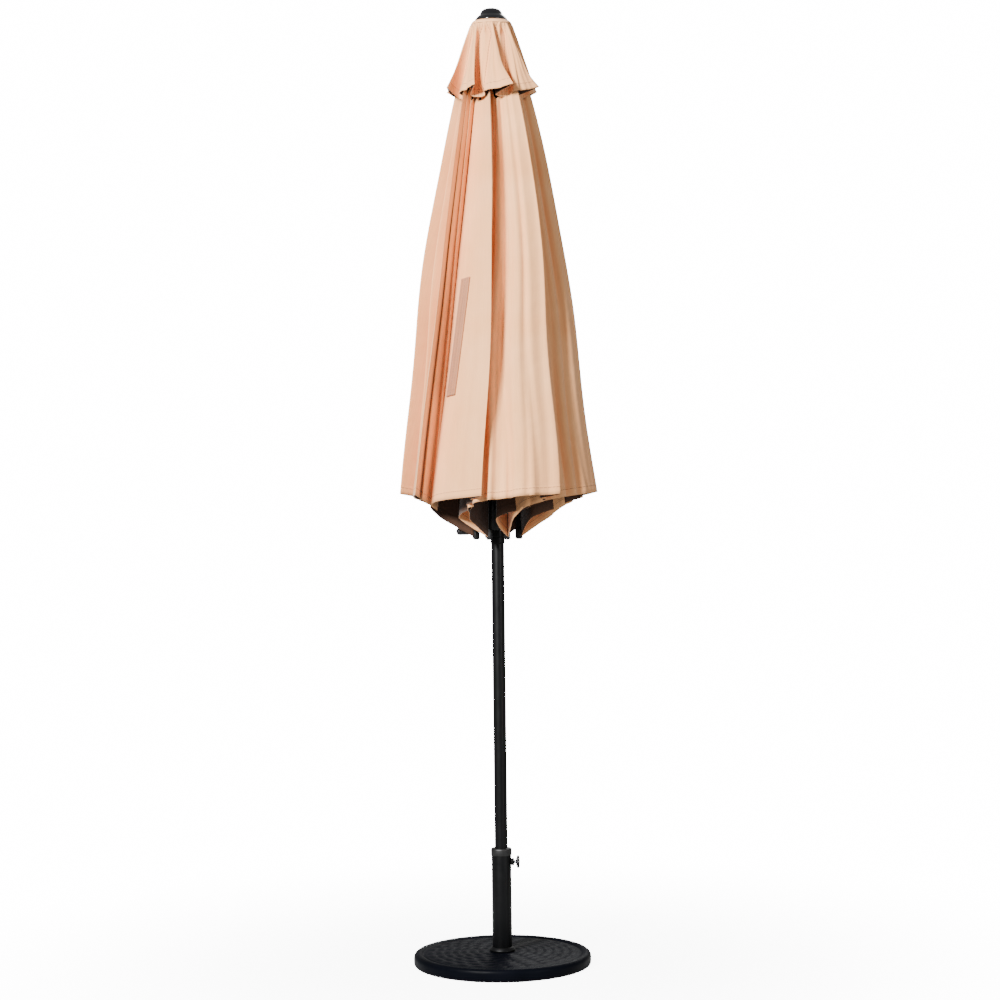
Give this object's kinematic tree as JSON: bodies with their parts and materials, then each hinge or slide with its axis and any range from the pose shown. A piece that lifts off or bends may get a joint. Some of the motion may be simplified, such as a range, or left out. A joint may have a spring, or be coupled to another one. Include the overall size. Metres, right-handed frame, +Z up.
{
  "type": "patio umbrella with base",
  "caption": "Folded centre-pole garden umbrella with a crank lift, vented cloth canopy and a round weighted base.",
  "frame": {"origin": "on the ground under the pole's axis, at the middle of the base disc", "axes": "+Z up along the pole, -Y towards the front, +X to the right, where the thumb screw is"},
  "size_m": [0.514, 0.514, 2.46],
  "materials": {
    "base_coat": "black woven-relief powder coat",
    "black_metal": "satin black powder coat",
    "black_plastic": "glossy black moulding",
    "zinc": "bright zinc plate",
    "canvas": "tan woven canopy cloth",
    "cord": "braided cord"
  },
  "bodies": {
    "base": {"base_plate": "base_coat", "weld_flange": "black_metal", "stem_tube": "black_metal", "stem_cap": "black_plastic", "base_bolt": "zinc", "base_nut": "zinc", "lock_nut": "black_metal"},
    "lock": {"lock_screw": "zinc", "lock_knob": "black_plastic"},
    "pole": {"pole_foot": "black_plastic", "lower_pole": "black_metal", "pole_spigot": "black_metal", "pole_coupler": "black_metal", "upper_pole": "black_metal", "crank_housing": "black_plastic", "lift_cord_inner": "cord", "lift_cord_outer": "cord", "top_hub": "black_plastic", "canopy_clamp": "black_plastic", "vent_spacer": "black_plastic", "finial": "black_plastic"},
    "runner": {"runner": "black_plastic"},
    "crank": {"crank_arm": "black_metal", "winding_spool": "black_plastic"},
    "crank_grip": {"crank_grip": "black_plastic"},
    "pulley": {"cord_pulley": "black_plastic"},
    "rib_1": {"rib_1": "black_metal"},
    "strut_1": {"strut_1": "black_metal"},
    "rib_2": {"rib_2": "black_metal"},
    "strut_2": {"strut_2": "black_metal"},
    "rib_3": {"rib_3": "black_metal"},
    "strut_3": {"strut_3": "black_metal"},
    "rib_4": {"rib_4": "black_metal"},
    "strut_4": {"strut_4": "black_metal"},
    "rib_5": {"rib_5": "black_metal"},
    "strut_5": {"strut_5": "black_metal"},
    "rib_6": {"rib_6": "black_metal"},
    "strut_6": {"strut_6": "black_metal"},
    "rib_7": {"rib_7": "black_metal"},
    "strut_7": {"strut_7": "black_metal"},
    "rib_8": {"rib_8": "black_metal"},
    "strut_8": {"strut_8": "black_metal"},
    "panel_1": {"canopy_panel_1": "canvas"},
    "vent_1": {"vent_panel_1": "canvas"},
    "panel_2": {"canopy_panel_2": "canvas"},
    "vent_2": {"vent_panel_2": "canvas"},
    "panel_3": {"canopy_panel_3": "canvas"},
    "vent_3": {"vent_panel_3": "canvas"},
    "panel_4": {"canopy_panel_4": "canvas"},
    "vent_4": {"vent_panel_4": "canvas"},
    "panel_5": {"canopy_panel_5": "canvas", "tie_strap": "canvas"},
    "vent_5": {"vent_panel_5": "canvas"},
    "panel_6": {"canopy_panel_6": "canvas"},
    "vent_6": {"vent_panel_6": "canvas"},
    "panel_7": {"canopy_panel_7": "canvas"},
    "vent_7": {"vent_panel_7": "canvas"},
    "panel_8": {"canopy_panel_8": "canvas"},
    "vent_8": {"vent_panel_8": "canvas"}
  },
  "joints": [
    {"name": "lock_turn", "type": "hinge", "parent": "base", "child": "lock", "pos_m": [0.03, 0, 0.266], "axis": [1, 0, 0], "range_deg": [0, 1080]},
    {"name": "pole_swivel", "type": "hinge", "parent": "base", "child": "pole", "pos_m": [0, 0, 0.3], "axis": [0, 0, 1], "range_deg": [-180, 180]},
    {"name": "runner_slide", "type": "slide", "parent": "pole", "child": "runner", "axis": [0, 0, 1], "range_m": [0, 0.71879]},
    {"name": "crank_turn", "type": "hinge", "parent": "pole", "child": "crank", "pos_m": [-0.04997, -0.00175, 1.183], "axis": [-0.9994, -0.0349, 0], "range_deg": [0, 5883.42]},
    {"name": "grip_spin", "type": "hinge", "parent": "crank", "child": "crank_grip", "pos_m": [-0.08994, -0.00314, 1.121], "axis": [-0.9994, -0.0349, 0], "continuous": true},
    {"name": "pulley_turn", "type": "hinge", "parent": "pole", "child": "pulley", "pos_m": [-0.01279, -0.00045, 2.401], "axis": [0.0349, -0.9994, 0], "range_deg": [0, 4845.17]},
    {"name": "rib_hinge_1", "type": "hinge", "parent": "pole", "child": "rib_1", "pos_m": [0.02912, 0.01327, 2.4], "axis": [0.4147, -0.91, 0], "range_deg": [0, 69.02]},
    {"name": "strut_hinge_1", "type": "hinge", "parent": "rib_1", "child": "strut_1", "pos_m": [0.02912, 0.01327, 1.83987], "axis": [0.4147, -0.91, 0], "range_deg": [-138.02, 0]},
    {"name": "rib_hinge_2", "type": "hinge", "parent": "pole", "child": "rib_2", "pos_m": [0.01121, 0.02997, 2.4], "axis": [0.9367, -0.3502, 0], "range_deg": [0, 69.02]},
    {"name": "strut_hinge_2", "type": "hinge", "parent": "rib_2", "child": "strut_2", "pos_m": [0.01121, 0.02997, 1.83987], "axis": [0.9367, -0.3502, 0], "range_deg": [-138.02, 0]},
    {"name": "rib_hinge_3", "type": "hinge", "parent": "pole", "child": "rib_3", "pos_m": [-0.01327, 0.02912, 2.4], "axis": [0.91, 0.4147, 0], "range_deg": [0, 69.02]},
    {"name": "strut_hinge_3", "type": "hinge", "parent": "rib_3", "child": "strut_3", "pos_m": [-0.01327, 0.02912, 1.83987], "axis": [0.91, 0.4147, 0], "range_deg": [-138.02, 0]},
    {"name": "rib_hinge_4", "type": "hinge", "parent": "pole", "child": "rib_4", "pos_m": [-0.02997, 0.01121, 2.4], "axis": [0.3502, 0.9367, 0], "range_deg": [0, 69.02]},
    {"name": "strut_hinge_4", "type": "hinge", "parent": "rib_4", "child": "strut_4", "pos_m": [-0.02997, 0.01121, 1.83987], "axis": [0.3502, 0.9367, 0], "range_deg": [-138.02, 0]},
    {"name": "rib_hinge_5", "type": "hinge", "parent": "pole", "child": "rib_5", "pos_m": [-0.02912, -0.01327, 2.4], "axis": [-0.4147, 0.91, 0], "range_deg": [0, 69.02]},
    {"name": "strut_hinge_5", "type": "hinge", "parent": "rib_5", "child": "strut_5", "pos_m": [-0.02912, -0.01327, 1.83987], "axis": [-0.4147, 0.91, 0], "range_deg": [-138.02, 0]},
    {"name": "rib_hinge_6", "type": "hinge", "parent": "pole", "child": "rib_6", "pos_m": [-0.01121, -0.02997, 2.4], "axis": [-0.9367, 0.3502, 0], "range_deg": [0, 69.02]},
    {"name": "strut_hinge_6", "type": "hinge", "parent": "rib_6", "child": "strut_6", "pos_m": [-0.01121, -0.02997, 1.83987], "axis": [-0.9367, 0.3502, 0], "range_deg": [-138.02, 0]},
    {"name": "rib_hinge_7", "type": "hinge", "parent": "pole", "child": "rib_7", "pos_m": [0.01327, -0.02912, 2.4], "axis": [-0.91, -0.4147, 0], "range_deg": [0, 69.02]},
    {"name": "strut_hinge_7", "type": "hinge", "parent": "rib_7", "child": "strut_7", "pos_m": [0.01327, -0.02912, 1.83987], "axis": [-0.91, -0.4147, 0], "range_deg": [-138.02, 0]},
    {"name": "rib_hinge_8", "type": "hinge", "parent": "pole", "child": "rib_8", "pos_m": [0.02997, -0.01121, 2.4], "axis": [-0.3502, -0.9367, 0], "range_deg": [0, 69.02]},
    {"name": "strut_hinge_8", "type": "hinge", "parent": "rib_8", "child": "strut_8", "pos_m": [0.02997, -0.01121, 1.83987], "axis": [-0.3502, -0.9367, 0], "range_deg": [-138.02, 0]},
    {"name": "panel_fold_1", "type": "hinge", "parent": "pole", "child": "panel_1", "pos_m": [0, 0, 2.4445], "axis": [0.4218, 0.4524, -0.7857], "range_deg": [0, 170.02], "deforming": ["canopy_panel_1"]},
    {"name": "vent_fold_1", "type": "hinge", "parent": "pole", "child": "vent_1", "pos_m": [0, 0, 2.4752], "axis": [0.4553, 0.4882, -0.7445], "range_deg": [0, 170.02], "deforming": ["vent_panel_1"]},
    {"name": "panel_fold_2", "type": "hinge", "parent": "pole", "child": "panel_2", "pos_m": [0, 0, 2.4445], "axis": [-0.0216, 0.6182, -0.7857], "range_deg": [0, 170.02], "deforming": ["canopy_panel_2"]},
    {"name": "vent_fold_2", "type": "hinge", "parent": "pole", "child": "vent_2", "pos_m": [0, 0, 2.4752], "axis": [-0.0233, 0.6672, -0.7445], "range_deg": [0, 170.02], "deforming": ["vent_panel_2"]},
    {"name": "panel_fold_3", "type": "hinge", "parent": "pole", "child": "panel_3", "pos_m": [0, 0, 2.4445], "axis": [-0.4524, 0.4218, -0.7857], "range_deg": [0, 170.02], "deforming": ["canopy_panel_3"]},
    {"name": "vent_fold_3", "type": "hinge", "parent": "pole", "child": "vent_3", "pos_m": [0, 0, 2.4752], "axis": [-0.4882, 0.4553, -0.7445], "range_deg": [0, 170.02], "deforming": ["vent_panel_3"]},
    {"name": "panel_fold_4", "type": "hinge", "parent": "pole", "child": "panel_4", "pos_m": [0, 0, 2.4445], "axis": [-0.6182, -0.0216, -0.7857], "range_deg": [0, 170.02], "deforming": ["canopy_panel_4"]},
    {"name": "vent_fold_4", "type": "hinge", "parent": "pole", "child": "vent_4", "pos_m": [0, 0, 2.4752], "axis": [-0.6672, -0.0233, -0.7445], "range_deg": [0, 170.02], "deforming": ["vent_panel_4"]},
    {"name": "panel_fold_5", "type": "hinge", "parent": "pole", "child": "panel_5", "pos_m": [0, 0, 2.4445], "axis": [-0.4218, -0.4524, -0.7857], "range_deg": [0, 170.02], "deforming": ["canopy_panel_5", "tie_strap"]},
    {"name": "vent_fold_5", "type": "hinge", "parent": "pole", "child": "vent_5", "pos_m": [0, 0, 2.4752], "axis": [-0.4553, -0.4882, -0.7445], "range_deg": [0, 170.02], "deforming": ["vent_panel_5"]},
    {"name": "panel_fold_6", "type": "hinge", "parent": "pole", "child": "panel_6", "pos_m": [0, 0, 2.4445], "axis": [0.0216, -0.6182, -0.7857], "range_deg": [0, 170.02], "deforming": ["canopy_panel_6"]},
    {"name": "vent_fold_6", "type": "hinge", "parent": "pole", "child": "vent_6", "pos_m": [0, 0, 2.4752], "axis": [0.0233, -0.6672, -0.7445], "range_deg": [0, 170.02], "deforming": ["vent_panel_6"]},
    {"name": "panel_fold_7", "type": "hinge", "parent": "pole", "child": "panel_7", "pos_m": [0, 0, 2.4445], "axis": [0.4524, -0.4218, -0.7857], "range_deg": [0, 170.02], "deforming": ["canopy_panel_7"]},
    {"name": "vent_fold_7", "type": "hinge", "parent": "pole", "child": "vent_7", "pos_m": [0, 0, 2.4752], "axis": [0.4882, -0.4553, -0.7445], "range_deg": [0, 170.02], "deforming": ["vent_panel_7"]},
    {"name": "panel_fold_8", "type": "hinge", "parent": "pole", "child": "panel_8", "pos_m": [0, 0, 2.4445], "axis": [0.6182, 0.0216, -0.7857], "range_deg": [0, 170.02], "deforming": ["canopy_panel_8"]},
    {"name": "vent_fold_8", "type": "hinge", "parent": "pole", "child": "vent_8", "pos_m": [0, 0, 2.4752], "axis": [0.6672, 0.0233, -0.7445], "range_deg": [0, 170.02], "deforming": ["vent_panel_8"]}
  ],
  "couplings": [
    {"joint": "crank_turn", "follows": "runner_slide", "rad_per_m": 142.86},
    {"joint": "pulley_turn", "follows": "runner_slide", "rad_per_m": 117.65},
    {"joint": "rib_hinge_1", "follows": "runner_slide", "rad_per_m": 1.6754},
    {"joint": "strut_hinge_1", "follows": "runner_slide", "rad_per_m": -3.3508},
    {"joint": "rib_hinge_2", "follows": "runner_slide", "rad_per_m": 1.6754},
    {"joint": "strut_hinge_2", "follows": "runner_slide", "rad_per_m": -3.3508},
    {"joint": "rib_hinge_3", "follows": "runner_slide", "rad_per_m": 1.6754},
    {"joint": "strut_hinge_3", "follows": "runner_slide", "rad_per_m": -3.3508},
    {"joint": "rib_hinge_4", "follows": "runner_slide", "rad_per_m": 1.6754},
    {"joint": "strut_hinge_4", "follows": "runner_slide", "rad_per_m": -3.3508},
    {"joint": "rib_hinge_5", "follows": "runner_slide", "rad_per_m": 1.6754},
    {"joint": "strut_hinge_5", "follows": "runner_slide", "rad_per_m": -3.3508},
    {"joint": "rib_hinge_6", "follows": "runner_slide", "rad_per_m": 1.6754},
    {"joint": "strut_hinge_6", "follows": "runner_slide", "rad_per_m": -3.3508},
    {"joint": "rib_hinge_7", "follows": "runner_slide", "rad_per_m": 1.6754},
    {"joint": "strut_hinge_7", "follows": "runner_slide", "rad_per_m": -3.3508},
    {"joint": "rib_hinge_8", "follows": "runner_slide", "rad_per_m": 1.6754},
    {"joint": "strut_hinge_8", "follows": "runner_slide", "rad_per_m": -3.3508},
    {"joint": "panel_fold_1", "follows": "runner_slide", "rad_per_m": 4.1278},
    {"joint": "vent_fold_1", "follows": "runner_slide", "rad_per_m": 4.1278},
    {"joint": "panel_fold_2", "follows": "runner_slide", "rad_per_m": 4.1278},
    {"joint": "vent_fold_2", "follows": "runner_slide", "rad_per_m": 4.1278},
    {"joint": "panel_fold_3", "follows": "runner_slide", "rad_per_m": 4.1278},
    {"joint": "vent_fold_3", "follows": "runner_slide", "rad_per_m": 4.1278},
    {"joint": "panel_fold_4", "follows": "runner_slide", "rad_per_m": 4.1278},
    {"joint": "vent_fold_4", "follows": "runner_slide", "rad_per_m": 4.1278},
    {"joint": "panel_fold_5", "follows": "runner_slide", "rad_per_m": 4.1278},
    {"joint": "vent_fold_5", "follows": "runner_slide", "rad_per_m": 4.1278},
    {"joint": "panel_fold_6", "follows": "runner_slide", "rad_per_m": 4.1278},
    {"joint": "vent_fold_6", "follows": "runner_slide", "rad_per_m": 4.1278},
    {"joint": "panel_fold_7", "follows": "runner_slide", "rad_per_m": 4.1278},
    {"joint": "vent_fold_7", "follows": "runner_slide", "rad_per_m": 4.1278},
    {"joint": "panel_fold_8", "follows": "runner_slide", "rad_per_m": 4.1278},
    {"joint": "vent_fold_8", "follows": "runner_slide", "rad_per_m": 4.1278}
  ]
}
